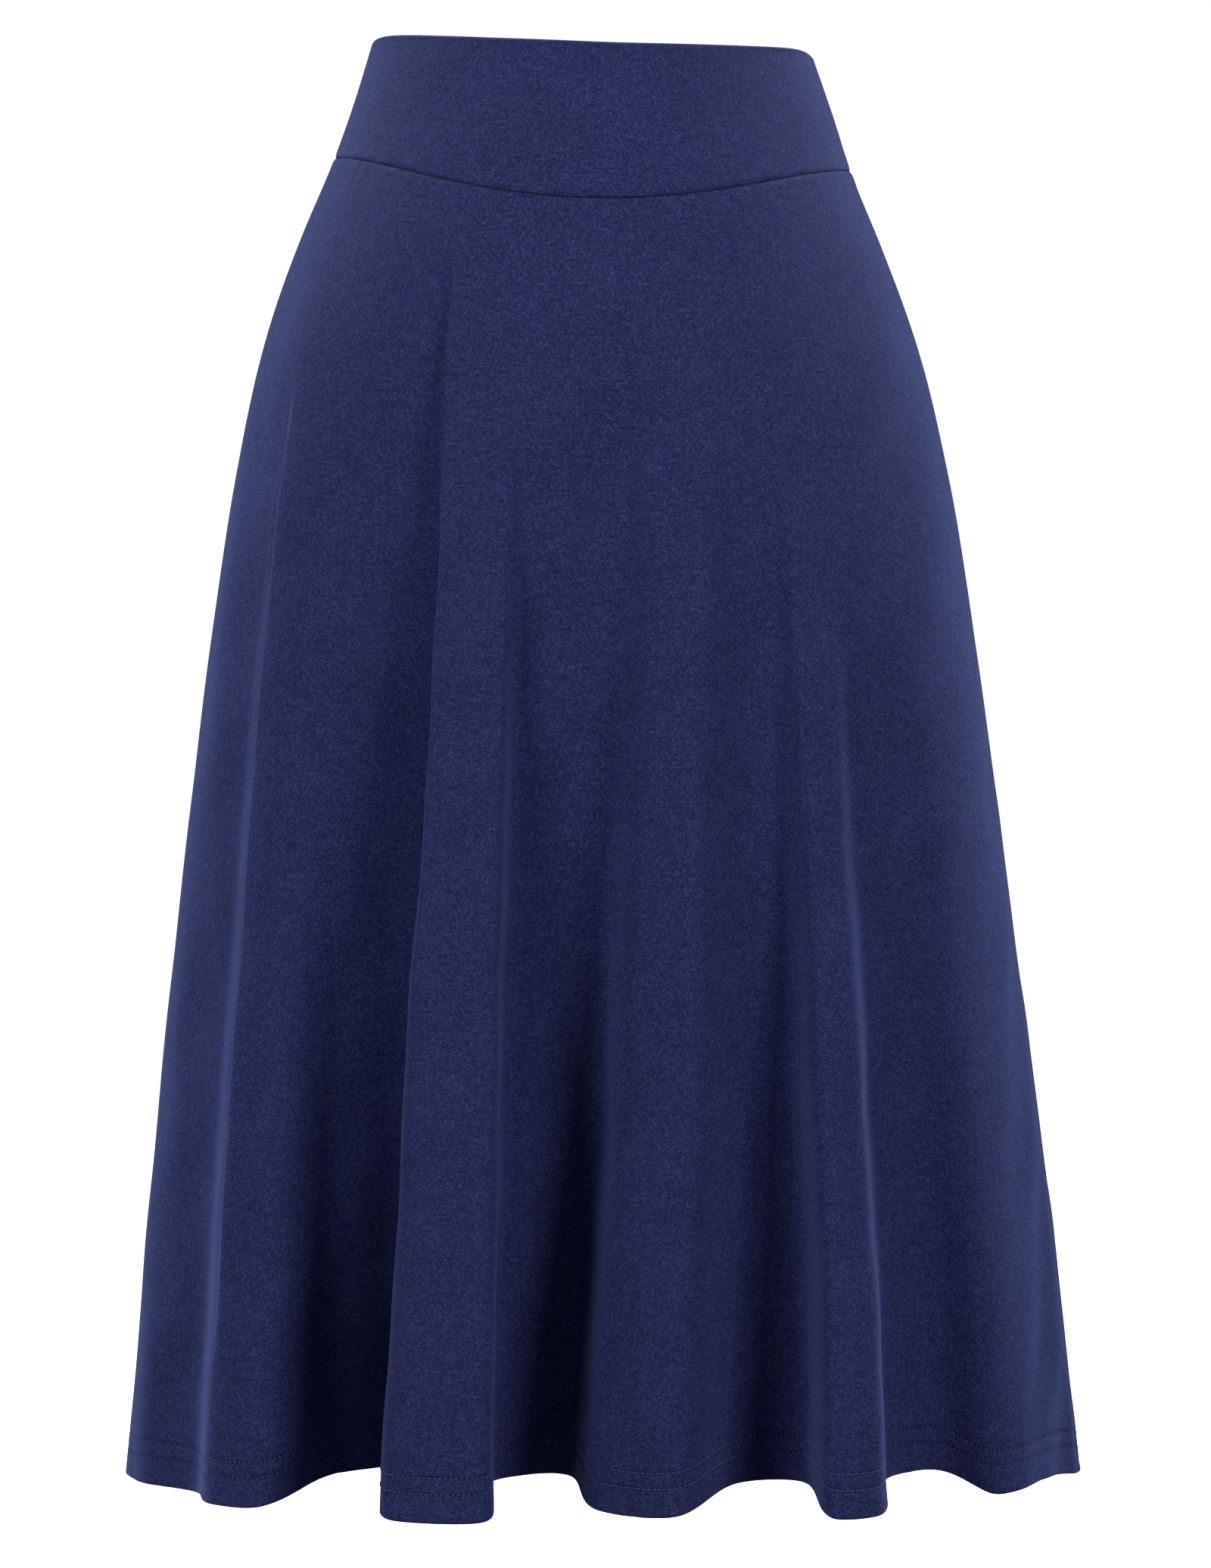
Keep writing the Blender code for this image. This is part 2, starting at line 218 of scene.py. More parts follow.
# Half the sizes of the stitches in the seams, their depth below the cloth, the thread's shape, and
# the clearance and edges of what lies inside
YOKE_STITCH_HALF = (0.0004, 0.0006)
YOKE_STITCH_DEPTH = 0.0008
SIDE_STITCH_HALF = (0.0006, 0.0004)
SIDE_STITCH_DEPTH = 0.0002
INSIDE_GAP = 0.0002
ALLOWANCE_EDGE = 0.0003
ALLOWANCE_ROWS = 6
OVERLOCK_BEYOND = 0.0004
OVERLOCK_WIDTH = 0.0032
OVERLOCK_LIFT = 0.3
HEM_STITCH_LIFT = 0.35
THREAD_FLATNESS = 0.8

# The studio's floor and film, how bright the camera sees its backdrop, and its softboxes: the point
# they face, their places on the right, and their widths and heights
FLOOR_SIZE = 60.0
FILM_WIDTH = 36.0
BACKDROP_STRENGTH = 1.3
LIGHT_AIM = (0.0, 0.0, -0.36)
KEY_PLACE = (2.40, -2.08, 1.20)
KEY_SIZE = (1.1, 2.0)
RIM_PLACE = (1.60, 1.20, 2.20)
RIM_SIZE = (0.8, 2.0)
FRONT_PLACE = (0.0, -3.30, 0.90)
FRONT_SIZE = (1.2, 1.2)


class SkirtCloth(bpy.types.PropertyGroup):
    """Sizes and colours of the jersey."""

    thickness: FloatProperty(
        name="Jersey", description="Thickness of the single cloth", default=0.0015, unit="LENGTH"
    )
    yoke_thickness: FloatProperty(
        name="Yoke", description="Thickness of the doubled yoke", default=0.0024, unit="LENGTH"
    )
    hem_thickness: FloatProperty(
        name="Hem", description="Thickness where the hem is turned up", default=0.0027, unit="LENGTH"
    )
    hem_turn: FloatProperty(
        name="Hem turn-up", description="Height of the hem's turn-up", default=0.024, unit="LENGTH"
    )
    seam_sink: FloatProperty(
        name="Seam roll", description="How deep the cloth rolls in at a seam", default=0.0005, unit="LENGTH"
    )
    pucker: FloatProperty(
        name="Hem pucker", description="Height of the small waves at the hem", default=0.00035, unit="LENGTH"
    )
    wave: FloatProperty(
        name="Softness", description="Height of the broad soft waves", default=0.0006, unit="LENGTH"
    )
    allowance: FloatProperty(
        name="Allowance", description="Width of the seam allowances inside", default=0.0065, unit="LENGTH"
    )
    allowance_thickness: FloatProperty(
        name="Allowance thickness", description="Thickness of overlocked allowances", default=0.0013,
        unit="LENGTH",
    )
    navy: FloatVectorProperty(
        name="Navy", description="Colour of the jersey", subtype="COLOR", size=4,
        default=(0.0172, 0.0220, 0.0900, 1.0), min=0.0, max=1.0,
    )
    fleck: FloatVectorProperty(
        name="Fleck", description="Colour of the pale fibres of the melange", subtype="COLOR", size=4,
        default=(0.036, 0.040, 0.088, 1.0), min=0.0, max=1.0,
    )
    bloom: FloatVectorProperty(
        name="Bloom", description="Colour of the soft nap at a glancing angle", subtype="COLOR", size=4,
        default=(0.30, 0.42, 1.0, 1.0), min=0.0, max=1.0,
    )
    bloom_weight: FloatProperty(
        name="Bloom weight", description="How strong the nap shows", default=0.45, subtype="FACTOR"
    )


class SkirtThread(bpy.types.PropertyGroup):
    """Sizes and colour of the sewing."""

    pitch: FloatProperty(
        name="Pitch", description="From one hem stitch to the next", default=0.0027, unit="LENGTH"
    )
    stitch: FloatProperty(
        name="Stitch", description="Length of a hem stitch that shows", default=0.0018, unit="LENGTH"
    )
    radius: FloatProperty(
        name="Thread", description="Half the width of the thread", default=0.00030, unit="LENGTH"
    )
    lower_row: FloatProperty(
        name="Lower row", description="Height above the hem's edge", default=0.0143, unit="LENGTH"
    )
    upper_row: FloatProperty(
        name="Upper row", description="Height above the hem's edge", default=0.0222, unit="LENGTH"
    )
    seam_pitch: FloatProperty(
        name="Seam pitch", description="From one seam stitch to the next", default=0.0015, unit="LENGTH"
    )
    overlock_pitch: FloatProperty(
        name="Overlock pitch", description="From one overlocking loop to the next", default=0.0030,
        unit="LENGTH",
    )
    colour: FloatVectorProperty(
        name="Thread", description="Colour of the thread", subtype="COLOR", size=4,
        default=(0.052, 0.065, 0.182, 1.0), min=0.0, max=1.0,
    )


class SkirtStudio(bpy.types.PropertyGroup):
    """The camera and the lights."""

    camera_place: FloatVectorProperty(
        name="Camera", description="Where the camera stands", subtype="TRANSLATION", size=3,
        default=(0.0065, -3.4, -0.1927),
    )
    camera_dip: FloatProperty(
        name="Dip", description="How far the camera looks down", default=math.radians(3.02), subtype="ANGLE"
    )
    lens: FloatProperty(name="Lens", description="Focal length in millimetres", default=153.44)
    floor_drop: FloatProperty(
        name="Floor", description="How far the floor is below the waist", default=1.05, unit="LENGTH"
    )
    key_power: FloatProperty(name="Keys", description="Power of each front softbox in watts", default=85.0)
    left_rim_power: FloatProperty(
        name="Left rim", description="Power of the left rear softbox in watts", default=86.0
    )
    right_rim_power: FloatProperty(
        name="Right rim", description="Power of the right rear softbox in watts", default=94.0
    )
    front_power: FloatProperty(name="Front", description="Power of the middle softbox in watts", default=5.0)
    air: FloatProperty(name="Air", description="Strength of the light from all round", default=0.10)


def smooth_value(at, places, values):
    """A smooth curve through a table's values, read at the places asked for."""
    places, values = np.asarray(places), np.asarray(values)
    slopes = np.gradient(values, places)
    at = np.clip(at, places[0], places[-1])
    low = np.clip(np.searchsorted(places, at, side="right") - 1, 0, len(places) - 2)
    span = places[low + 1] - places[low]
    t = (at - places[low]) / span
    start, end = values[low], values[low + 1]
    rise, fall = slopes[low] * span, slopes[low + 1] * span
    return (
        start * (1 + 2 * t) * (1 - t) ** 2
        + rise * t * (1 - t) ** 2
        + end * t * t * (3 - 2 * t)
        + fall * t * t * (t - 1)
    )


def fade(at, start, end):
    """A soft step from 0 at start to 1 at end."""
    t = np.clip((at - start) / (end - start), 0.0, 1.0)
    return t * t * (3 - 2 * t)


def near(distance, reach):
    """1 at no distance, dying away over a reach."""
    return np.exp(-((distance / reach) ** 2))


def length_round(drop):
    """About how long the cloth is, all the way round, at a drop."""
    return WAIST_LENGTH + FLARE * drop


def section(drop):
    """The oval's half width, front depth, back depth and centre at a drop."""
    table = np.array(SECTIONS)
    return [smooth_value(drop, table[:, 0], table[:, k]) for k in range(1, table.shape[1])]


def softened(line, total, softness):
    """A closed line of evenly spaced values, with its corners rounded off over softness."""
    along = np.linspace(0, total, len(line), endpoint=False)
    spread = np.minimum(along, total - along)
    kernel = np.exp(-0.5 * (spread / softness) ** 2)
    kernel = np.fft.fft(kernel / kernel.sum())
    return np.fft.ifft(np.fft.fft(line, axis=0) * kernel[:, None], axis=0).real


def hem_loop():
    """For turns round the oval, the hem's x, y, fold top and rise, and each crest's two edges."""
    rows, turns = [], []
    for name, fold in FOLDS.items():
        crest_top, valley_top, rise = fold[8:]
        rows += [(*fold[0:2], crest_top, 0.0), (*fold[2:4], crest_top, 0.0)]
        rows += [(*fold[4:6], valley_top, rise), (*fold[6:8], valley_top, rise)]
        turns += [degrees / 360.0 for degrees in HANGS[name]]
    points, turns = np.array(rows + rows[:1]), np.array(turns + [turns[0] + 1.0])
    chords = np.linalg.norm(np.diff(points[:, :2], axis=0), axis=1)
    knots = np.concatenate([[0.0], np.cumsum(chords)])
    total = knots[-1]
    padded = np.concatenate([knots[:-1] - total, knots, knots[1:] + total])
    tripled = np.concatenate([points[:-1], points, points[1:]])
    even = np.linspace(0, total, (len(knots) - 1) * CURVE_STEPS, endpoint=False)
    line = [smooth_value(even, padded, tripled[:, k]) for k in range(points.shape[1])]
    line.append(np.interp(even, knots, turns) - even / total)
    soft = softened(np.stack(line, axis=1), total, FOLD_SOFTNESS)
    edges = dict(zip(FOLDS, zip(turns[::POINTS_A_FOLD], turns[1::POINTS_A_FOLD])))
    return soft[:, -1] + even / total, soft[:, :-1], edges


HEM_TURNS, HEM_LOOP, CREST_EDGES = hem_loop()


def hem_value(turn, column):
    """The hem's x, y, fold top or rise at a turn."""
    return np.interp(turn, HEM_TURNS, HEM_LOOP[:, column], period=1.0)


def leaned(turn, drop):
    """The turn of the hem's folds that a point belongs to, where their tops lean aside."""
    leaning = near(turn - LEAN_TURN, LEAN_REACH)
    return turn + LEAN * leaning * (1.0 - fade(drop, LEAN_FROM, LEAN_TO))


def crease_depth(turn, drop, spread):
    """How far the sharp creases sink the cloth, with their edges' widths spread."""
    sunk = np.zeros(np.broadcast(turn, drop).shape)
    for fold, side, edge, depth, reach, first, last, fading in CREASES:
        near_edge, far_edge = CREST_EDGES[fold]
        line, behind = (near_edge, -1.0) if side == "near" else (far_edge, 1.0)
        away = (turn - line + 0.5) % 1.0 - 0.5
        away = away * behind * length_round(drop)
        shape = fade(away, 0.0, edge * spread) * np.exp(-np.maximum(away, 0.0) / reach)
        strength = fade(drop, first - fading, first) * (1.0 - fade(drop, last, last + 2 * fading))
        sunk = sunk + depth * shape * strength
    return sunk


def cloth(turn, drop, spread=1.0):
    """Points of the cloth's outer face, for arrays of turns round and drops below the waist."""
    half_width, front_depth, back_depth, centre_x = section(drop)
    hem_width, hem_front, hem_back, hem_centre = section(HEM_DROP)
    angle = 2 * math.pi * turn
    across, along = np.cos(angle), np.sin(angle)
    depth = np.where(along > 0, front_depth, back_depth)
    oval_x = centre_x - half_width * across
    oval_y = -depth * along
    hung = leaned(turn, drop)
    hem_x, hem_y, top = (hem_value(hung, column) for column in (0, 1, 2))
    fold_x = centre_x + (hem_x - hem_centre) * half_width / hem_width
    fold_y = hem_y * np.where(hem_y < 0, front_depth / hem_front, back_depth / hem_back)
    grown = np.clip((drop - top) / (HEM_DROP - top), 0.0, 1.0)
    grown = grown * grown / (grown + FOLD_EASE) * (1.0 + FOLD_EASE)
    sunk = 1.0 - crease_depth(hung, drop, spread) / np.hypot(oval_x, oval_y)
    x = (oval_x + (fold_x - oval_x) * grown) * sunk
    y = (oval_y + (fold_y - oval_y) * grown) * sunk
    return np.stack([x, y, -drop], axis=-1)


def outward(turn, drop, spread=INNER_SPREAD):
    """The cloth's outward directions at those points."""
    aside = NORMAL_STEP / length_round(drop)
    round_it = cloth(turn + aside, drop, spread) - cloth(turn - aside, drop, spread)
    down_it = cloth(turn, drop + NORMAL_STEP, spread) - cloth(turn, drop - NORMAL_STEP, spread)
    normal = np.cross(down_it, round_it)
    return normal / np.linalg.norm(normal, axis=-1, keepdims=True)


def tilt(turn, drop):
    """How far the worn skirt dips on its right at a drop, which dies out at the hem."""
    return -np.cos(2 * math.pi * turn) * WAIST_TILT * (1.0 - drop / HEM_DROP)


def waist_edge(turn):
    """The drop of the folded edge at the waist: highest by the sides, and rounded over at them."""
    across = np.abs(np.cos(2 * math.pi * turn))
    return WAIST_CORNER * across ** WAIST_CORNER_POWER - WAIST_CURVE * across ** 2


def yoke_seam(turn):
    """The drop of the seam between yoke and skirt, lowest at the middle of the front."""
    along = np.sin(2 * math.pi * turn)
    middle = np.where(along > 0, YOKE_FRONT_DROP, YOKE_BACK_DROP)
    return YOKE_SIDE_DROP + (middle - YOKE_SIDE_DROP) * np.abs(along) ** YOKE_SEAM_POWER


def hem_edge(turn):
    """The drop of the hem's edge."""
    return HEM_DROP - hem_value(turn, 3)


def between_seams(part, drop, back):
    """The turn at a part of the way across a panel, half a seam's gap inside its side seams."""
    start, end = (RIGHT_SEAM, LEFT_SEAM + 1.0) if back else (LEFT_SEAM, RIGHT_SEAM)
    inset = SEAM_GAP / 2 / length_round(drop)
    return np.clip(start + (end - start) * part, start + inset, end - inset)


def side_seam_distance(turn, drop):
    """How far a point is from the nearer side seam, along the cloth."""
    away = [np.abs((turn - seam + 0.5) % 1.0 - 0.5) for seam in (LEFT_SEAM, RIGHT_SEAM)]
    return np.minimum(*away) * length_round(drop)


def panel_parts(columns, back):
    """Parts of the way across a panel for its columns, closer where the cloth bends or a seam runs."""
    fine = np.linspace(0, 1, PLAN_STEPS + 1)
    turn = between_seams(fine, HEM_DROP, back)
    plan = np.stack([hem_value(turn, 0), hem_value(turn, 1)], axis=1)
    step = np.diff(plan, axis=0)
    length = np.linalg.norm(step, axis=1)
    heading = np.unwrap(np.arctan2(step[:, 1], step[:, 0]))
    bend = np.abs(np.gradient(heading))
    middle = (turn[1:] + turn[:-1]) / 2
    creased = crease_depth(middle, np.full(len(middle), CREASE_SAMPLE_DROP), 1.0)
    slope = np.abs(np.gradient(creased))
    seam = np.exp(-side_seam_distance(middle, HEM_DROP) / SEAM_CROWD)
    effort = length / length.sum() + BEND_WEIGHT * bend / bend.sum()
    effort = effort + CREASE_WEIGHT * slope / slope.sum() + SEAM_WEIGHT * seam / seam.sum()
    so_far = np.concatenate([[0.0], np.cumsum(effort)])
    return np.interp(np.linspace(0, so_far[-1], columns + 1), so_far, fine)


# Waves that never quite repeat, for soft unevenness: cycles a metre round, cycles a metre down, phase
PUCKER_WAVES = ((61.0, 0.0, 0.4), (87.0, 0.0, 2.1), (113.0, 0.0, 4.0), (41.0, 0.0, 5.2))
SOFT_WAVES = ((7.3, 2.1, 0.7), (-4.1, 6.2, 2.9), (12.7, -3.4, 4.4), (9.1, 9.7, 1.3), (-15.9, 5.3, 3.3))


def waves(along, down, table):
    """A soft wavy value between about -1 and 1."""
    total = 0.0
    for cycles_round, cycles_down, phase in table:
        total = total + np.sin(2 * math.pi * (cycles_round * along + cycles_down * down) + phase)
    return total / math.sqrt(len(table))


def relief(turn, drop, from_seam, from_hem):
    """How far the sewn cloth stands off the formed surface, and how much shade is painted into its colour at
    the seams and stitch rows.
    """
    sizes, thread = bpy.context.scene.skirt_cloth, bpy.context.scene.skirt_thread
    along = turn * length_round(drop)
    from_side = side_seam_distance(turn, drop)
    puckers = waves(along, 0.0, PUCKER_WAVES)
    ripple = 1.0 + SEAM_ROLL_RIPPLE * waves(along, drop, PUCKER_WAVES)
    at_seam = near(from_seam, SEAM_ROLL) * ripple
    at_side = near(from_side, SIDE_ROLL)
    height = -sizes.seam_sink * np.maximum(at_seam, at_side)
    rows = near(from_hem - thread.lower_row, STITCH_ROW) + near(from_hem - thread.upper_row, STITCH_ROW)
    height = height - STITCH_ROW_SINK * rows
    patches = fade(waves(along * PATCH_PACE, 0.0, PUCKER_WAVES), PATCH_FROM, PATCH_TO)
    height = height + sizes.pucker * near(from_hem, HEM_PUCKER_REACH) * patches * puckers
    height = height + SEAM_PUCKER * near(from_seam, SEAM_PUCKER_REACH) * puckers
    soft = fade(from_seam, 0.0, SOFT_FROM_YOKE) * fade(from_side, 0.0, SOFT_FROM_SIDE)
    height = height + sizes.wave * soft * waves(along, drop, SOFT_WAVES)
    # Painted shade: the colour darkens along the yoke seam, the side seams' rolls and the hem's stitch rows,
    # where their shadows would fall
    dark = np.maximum(near(from_seam, SEAM_SHADOW), SIDE_SHADE * at_side)
    return height, np.clip(dark + STITCH_ROW_SHADE * rows, 0.0, 1.0)


def worn(turn, drop, off):
    """Points of the worn skirt that stand off its formed surface."""
    points = cloth(turn, drop) + outward(turn, drop) * off[..., None]
    points[..., 2] -= tilt(turn, drop)
    return points


def share_round(points):
    """How far along its own row each point is, as a part of the row's length."""
    steps = np.linalg.norm(np.diff(points, axis=0), axis=-1)
    so_far = np.concatenate([np.zeros((1, points.shape[1])), np.cumsum(steps, axis=0)])
    return so_far / so_far[-1]


def flat_cut(part, from_seam):
    """Where a point of a panel lies on its flat cut, in metres, for the cloth's own pattern."""
    radius = CUT_RADIUS + from_seam
    angle = (part - 0.5) * CUT_ANGLE
    return np.stack([radius * np.sin(angle), -radius * np.cos(angle)], axis=-1)


def shell(name, points, flat, painted_shade, bottom):
    """A closed piece of cloth from rings of points, one ring of rows for each column.

    The points run down the outer face, round the lower edge at the bottom row, and up the inner
    face. The two end rings are closed by joining the rows of their outer and inner sides.
    """
    rings, rows = points.shape[:2]
    index = np.arange(rings * rows).reshape(rings, rows)
    here, there = index[:-1], index[1:]
    below_here, below_there = np.roll(here, -1, axis=1), np.roll(there, -1, axis=1)
    quads = np.stack([here, below_here, below_there, there], axis=-1).reshape(-1, 4)
    caps = []
    for ring, flip in ((0, True), (rings - 1, False)):
        outer, inner = 0, rows - 1
        while inner - outer > 1:
            outer_next, inner_next = min(outer + 1, bottom), max(inner - 1, bottom)
            step_outer = points[ring, outer_next, 2] >= points[ring, inner_next, 2] and outer < bottom
            if step_outer or inner <= bottom:
                face = (index[ring, outer], index[ring, outer_next], index[ring, inner])
                outer = outer_next
            else:
                face = (index[ring, outer], index[ring, inner_next], index[ring, inner])
                inner = inner_next
            caps.append(face if flip else face[::-1])
    mesh = bpy.data.meshes.new(name)
    faces = [tuple(face) for face in quads.tolist()] + [tuple(int(k) for k in face) for face in caps]
    mesh.from_pydata(points.reshape(-1, 3).tolist(), [], faces)
    corners = np.empty(len(mesh.loops), dtype=np.int32)
    mesh.loops.foreach_get("vertex_index", corners)
    mesh.uv_layers.new(name="flat_cut").data.foreach_set("uv", flat.reshape(-1, 2)[corners].ravel())
    # The shade painted at the seams and stitch rows, kept on each point for the jersey's colour
    mark = mesh.attributes.new("painted_shade", "FLOAT", "POINT")
    mark.data.foreach_set("value", painted_shade.reshape(-1).astype(np.float32))
    mesh.validate()
    mesh.shade_smooth()
    mesh.set_sharp_from_angle(angle=SHARP_EDGE)
    piece = bpy.data.objects.new(name, mesh)
    bpy.context.scene.collection.objects.link(piece)
    return piece


def rounded(radius, steps, start, end):
    """Steps of a rounded edge as pairs: how far short of the edge, and how deep in the cloth."""
    angles = np.radians(np.linspace(start, end, steps))
    return [(radius - radius * math.sin(a), radius - radius * math.cos(a)) for a in angles]


def skirt_rows():
    """The rows round a skirt panel's section: part of the way down, metres beyond it, and depth."""
    sizes, thread = bpy.context.scene.skirt_cloth, bpy.context.scene.skirt_thread
    thick, doubled = sizes.thickness, sizes.hem_thickness
    half = doubled / 2
    below_seam = (0.0003, 0.0008, 0.0014, 0.0021, 0.0030, 0.0044, 0.0064, 0.0090)
    round_stitches = (0.0022, 0.0014, 0.0008, 0.0003, -0.0003, -0.0008, -0.0014, -0.0022)
    rows = [(0.0, off, 0.0) for off in below_seam]
    rows += [(part, 0.0, 0.0) for part in np.linspace(0.018, 0.954, 84)]
    above_hem = [0.0275, *(thread.upper_row + off for off in round_stitches)]
    above_hem += [0.0182, *(thread.lower_row + off for off in round_stitches)]
    above_hem += [0.0105, 0.0088, 0.0070, 0.0052, 0.0036, 0.0022]
    rows += [(1.0, -off, 0.0) for off in above_hem]
    rows += [(1.0, -short, deep) for short, deep in rounded(half, 5, 0, 90)]
    bottom = len(rows) - 1
    rows += [(1.0, -short, doubled - deep) for short, deep in rounded(half, 5, 90, 0)[1:]]
    inside_hem = (0.0030, 0.0060, 0.0100, 0.0143, 0.0185, 0.0222, sizes.hem_turn - 0.0006)
    rows += [(1.0, -off, doubled) for off in inside_hem]
    rows += [(1.0, -(sizes.hem_turn - 0.0001), doubled - 0.0003), (1.0, -sizes.hem_turn, thick + 0.0002)]
    rows += [(1.0, -(sizes.hem_turn + 0.0006), thick)]
    rows += [(part, 0.0, thick) for part in np.linspace(0.945, 0.018, 54)]
    rows += [(0.0, off, thick) for off in (0.0080, 0.0050, 0.0030, 0.0015, 0.0004)]
    return np.array(rows), bottom


def skirt_panel(name, columns, back):
    """Half of the skirt, from the yoke's seam to the turned-up hem."""
    rows, bottom = skirt_rows()
    part = panel_parts(columns, back)[:, None]
    down = rows[None, :, 0]
    turn = between_seams(part, HEM_DROP, back)
    top, low = yoke_seam(turn) + SEAM_GAP / 2, hem_edge(turn)
    drop = top + (low - top) * down + rows[None, :, 1]
    turn = between_seams(part, drop, back)
    inner = rows[None, :, 2] > 0
    height, painted_shade = relief(turn, drop, drop - top, low - drop)
    normal = outward(turn, drop)
    outer_face, inner_face = cloth(turn, drop), cloth(turn, drop, INNER_SPREAD)
    blend = np.clip(rows[None, :, 2] / rows[:, 2].max(), 0.0, 1.0)[..., None]
    points = outer_face + (inner_face - outer_face) * blend
    points = points + normal * (height - rows[None, :, 2])[..., None]
    points[..., 2] -= tilt(turn, drop)
    from_seam = drop - top
    flat = flat_cut(share_round(points), np.where(inner, from_seam + INNER_FACE_SHIFT, from_seam))
    return shell(name, points, flat, painted_shade, bottom)


def yoke_rows():
    """The rows round a yoke's section: part of the way down, metres beyond it, and depth."""
    thick = bpy.context.scene.skirt_cloth.yoke_thickness
    half = thick / 2
    rows = [(0.0, short, deep) for short, deep in rounded(half, 5, 90, 0)]
    rows += [(0.0, off, 0.0) for off in (0.0020, 0.0034, 0.0052)]
    rows += [(part, 0.0, 0.0) for part in np.linspace(0.11, 0.90, 18)]
    rows += [(1.0, -off, 0.0) for off in (0.0046, 0.0032, 0.0022, 0.0014, 0.0008, 0.0003)]
    bottom = len(rows) - 1
    rows += [(1.0, -off, thick) for off in (0.0004, 0.0015, 0.0030)]
    rows += [(part, 0.0, thick) for part in np.linspace(0.93, 0.11, 14)]
    rows += [(0.0, short, thick - deep) for short, deep in rounded(half, 5, 0, 90)[:-1]]
    return np.array(rows), bottom


def yoke(name, back):
    """Half of the yoke: doubled cloth from the waist's folded edge to the seam with the skirt."""
    rows, bottom = yoke_rows()
    even = np.linspace(-1, 1, YOKE_COLUMNS + 1)
    part = (0.5 + 0.5 * np.sign(even) * (1 - (1 - np.abs(even)) ** YOKE_CROWD_POWER))[:, None]
    turn = between_seams(part, YOKE_SIDE_DROP / 2, back)
    top, low = waist_edge(turn), yoke_seam(turn) - SEAM_GAP / 2
    drop = top + (low - top) * rows[None, :, 0] + rows[None, :, 1]
    inner = rows[None, :, 2] > 0
    height, painted_shade = relief(turn, drop, low - drop, np.full(drop.shape, 1.0))
    points = worn(turn, drop, height - rows[None, :, 2])
    flat = np.stack([(share_round(points) - 0.5) * YOKE_LENGTH, YOKE_SHIFT - drop], axis=-1)
    flat[..., 1] += np.where(inner, INNER_FACE_SHIFT, 0.0)
    return shell(name, points, flat, painted_shade, bottom)


class Maths:
    """A shader value that takes part in Python sums."""

    def __init__(self, nodes, socket):
        self.nodes, self.socket = nodes, socket

    def sum(self, operation, *values):
        """One Math node for this value and others."""
        sockets = dict(enumerate((self, *values)))
        return self.nodes.value("ShaderNodeMath", {"operation": operation}, sockets)

    def __add__(self, other):
        return self.sum("ADD", other)

    def __sub__(self, other):
        return self.sum("SUBTRACT", other)

    def __mul__(self, other):
        return self.sum("MULTIPLY", other)

    def __rsub__(self, other):
        return self.sum("MULTIPLY", -1.0).sum("ADD", other)

    __radd__ = __add__
    __rmul__ = __mul__


class Nodes:
    """A material's nodes, added one by one."""

    def __init__(self, material):
        material.use_nodes = True
        self.tree = material.node_tree
        self.shader = self.tree.nodes["Principled BSDF"]

    def node(self, kind, settings, sockets):
        """Adds a node, sets it up, and then sets or links its sockets."""
        node = self.tree.nodes.new(kind)
        for key, value in settings.items():
            setattr(node, key, value)
        for key, value in sockets.items():
            self.feed(node.inputs[key], value)
        return node

    def feed(self, socket, value):
        """Links a value into a socket, or sets it there."""
        if isinstance(value, Maths):
            self.tree.links.new(value.socket, socket)
        else:
            socket.default_value = value

    def value(self, kind, settings, sockets, output=0):
        """The chosen output of a new node."""
        return Maths(self, self.node(kind, settings, sockets).outputs[output])


def stretched(nodes, place, scale):
    """The cloth's own coordinates, stretched for a pattern."""
    return nodes.value("ShaderNodeMapping", {}, {"Vector": place, "Scale": scale})


def speckle(nodes, place, scale):
    """Soft noise from 0 to 1 on stretched coordinates."""
    place = stretched(nodes, place, scale)
    return nodes.value("ShaderNodeTexNoise", {}, {"Vector": place, "Scale": 1.0, "Detail": 2.0})


def bands(nodes, place, direction, spacing):
    """Slightly uneven rows of the knit, from 0 to 1, at a spacing in metres."""
    settings = {"wave_type": "BANDS", "bands_direction": direction}
    scale = 2 * math.pi / 20 / spacing
    sockets = {"Vector": place, "Scale": scale, "Distortion": 1.2, "Detail": 1.0, "Detail Scale": 3.0}
    return nodes.value("ShaderNodeTexWave", settings, sockets, "Fac")


def scaled(nodes, colour, amount):
    """A plain colour, made lighter or darker by a value."""
    plain = nodes.value("ShaderNodeRGB", {}, {})
    plain.socket.default_value = colour
    return nodes.value("ShaderNodeVectorMath", {"operation": "SCALE"}, {0: plain, "Scale": amount})


